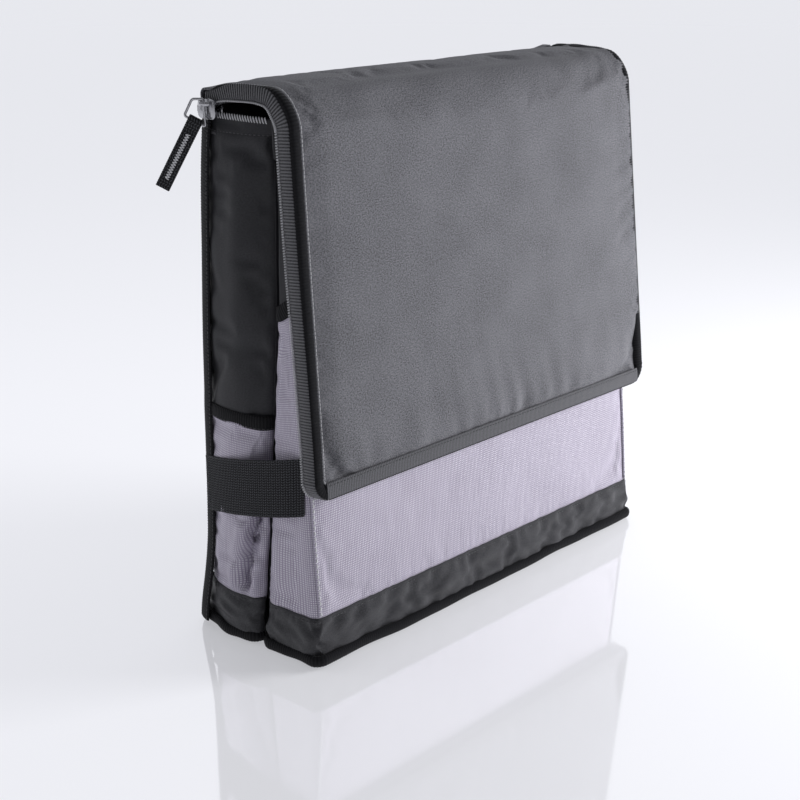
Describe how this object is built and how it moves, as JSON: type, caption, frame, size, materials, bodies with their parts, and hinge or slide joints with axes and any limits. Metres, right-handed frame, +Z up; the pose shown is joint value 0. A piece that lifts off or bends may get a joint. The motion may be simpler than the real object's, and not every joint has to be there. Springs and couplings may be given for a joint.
{
  "type": "collapsible battery safe bag",
  "caption": "Soft box bag with a padded zip-round lid folded down over the front, two base feet joined by folded gussets, flat side pockets and webbing side straps.",
  "frame": {"origin": "on the floor, midway across the bag, just inside the front edge of the rear foot's flat base", "axes": "+X to the bag's right seen from the front, +Y to the rear, +Z up"},
  "size_m": [0.3811, 0.1162, 0.36],
  "materials": {
    "lid_fabric": "fine satin weave, charcoal, soft sheen",
    "side_fabric": "smooth charcoal-black coated weave",
    "skirt_fabric": "dark coated weave, soft wrinkles",
    "silver_fabric": "silver-lilac small-square dobby weave, sheen",
    "binding": "black ribbed binding tape",
    "webbing": "black chevron webbing",
    "zip_tape": "black ribbed zip tape",
    "zip_coil": "dark polyester zip coil",
    "lining": "plain woven glass-fibre liner, coated",
    "board": "matte stiffener board",
    "foam": "soft foam",
    "chrome": "polished plating",
    "hook_loop": "hook and loop tape",
    "thread": "pale sewing thread"
  },
  "bodies": {
    "rear_section": {"rear_panel": "side_fabric", "rear_board": "board", "rear_liner": "lining", "rear_side_left": "side_fabric", "rear_side_right": "side_fabric", "rear_base": "skirt_fabric", "rear_base_board": "board", "rear_skirt": "skirt_fabric", "rear_base_binding": "binding", "rear_pocket_left": "silver_fabric", "rear_pocket_right": "silver_fabric", "rear_pocket_binding_left": "binding", "rear_pocket_binding_right": "binding", "rear_edge_binding_left": "binding", "rear_edge_binding_right": "binding", "hinge_binding": "binding", "rear_zip_tape_left": "zip_tape", "rear_zip_tape_right": "zip_tape", "rear_zip_coil_left": "zip_coil", "rear_zip_coil_right": "zip_coil", "side_gusset_left": "side_fabric", "side_gusset_right": "side_fabric", "base_gusset": "skirt_fabric"},
    "front_section": {"front_panel": "side_fabric", "front_board": "board", "front_liner": "lining", "front_side_left": "side_fabric", "front_side_right": "side_fabric", "front_base": "skirt_fabric", "front_base_board": "board", "front_skirt": "skirt_fabric", "front_base_binding": "binding", "front_pocket": "silver_fabric", "front_pocket_binding": "binding", "front_zip_tape": "zip_tape", "front_zip_coil": "zip_coil", "loop_patch_left": "hook_loop", "loop_patch_right": "hook_loop"},
    "lid_top": {"lid_top_cover": "lid_fabric", "lid_top_foam": "foam", "lid_top_lining": "lining", "lid_top_binding": "binding", "lid_top_zip": "zip_coil"},
    "lid_front": {"lid_front_cover": "lid_fabric", "lid_front_foam": "foam", "lid_front_lining": "lining", "lid_front_binding": "binding", "lid_front_zip_tape": "zip_tape", "lid_front_zip_coil": "zip_coil"},
    "slider": {"zip_slider": "chrome"},
    "puller": {"puller_loop": "chrome"},
    "tab": {"pull_tab": "webbing"},
    "strap_left": {"side_strap_left": "webbing", "hook_patch_left": "hook_loop"},
    "strap_right": {"side_strap_right": "webbing", "hook_patch_right": "hook_loop"}
  },
  "joints": [
    {"name": "lid_open", "type": "hinge", "parent": "rear_section", "child": "lid_top", "pos_m": [0, 0.0375, 0.357], "axis": [-1, 0, 0], "range_deg": [0, 185]},
    {"name": "lid_fold", "type": "hinge", "parent": "lid_top", "child": "lid_front", "pos_m": [0, -0.038, 0.357], "axis": [-1, 0, 0], "range_deg": [0, 170]},
    {"name": "section_spread", "type": "slide", "parent": "rear_section", "child": "front_section", "axis": [0, -1, 0], "range_m": [0, 0.068]},
    {"name": "slider_travel", "type": "slide", "parent": "rear_section", "child": "slider", "axis": [0, -1, 0], "range_m": [0, 0.034]},
    {"name": "puller_swing", "type": "hinge", "parent": "slider", "child": "puller", "pos_m": [-0.1778, 0.028, 0.3495], "axis": [0, 0, 1], "range_deg": [-28, 48]},
    {"name": "tab_swing", "type": "hinge", "parent": "puller", "child": "tab", "pos_m": [-0.18157, 0.03219, 0.33891], "axis": [-0.5908, 0.6562, 0.4695], "range_deg": [-8, 70]},
    {"name": "strap_left_peel", "type": "hinge", "parent": "rear_section", "child": "strap_left", "pos_m": [-0.17194, 0.0453, 0.11], "axis": [0, 0, -1], "range_deg": [0, 150]},
    {"name": "strap_right_peel", "type": "hinge", "parent": "rear_section", "child": "strap_right", "pos_m": [0.17194, 0.0453, 0.11], "axis": [0, 0, 1], "range_deg": [0, 150]}
  ],
  "couplings": [
    {"joint": "section_spread", "follows": "lid_open", "m_per_rad": 0.021}
  ]
}
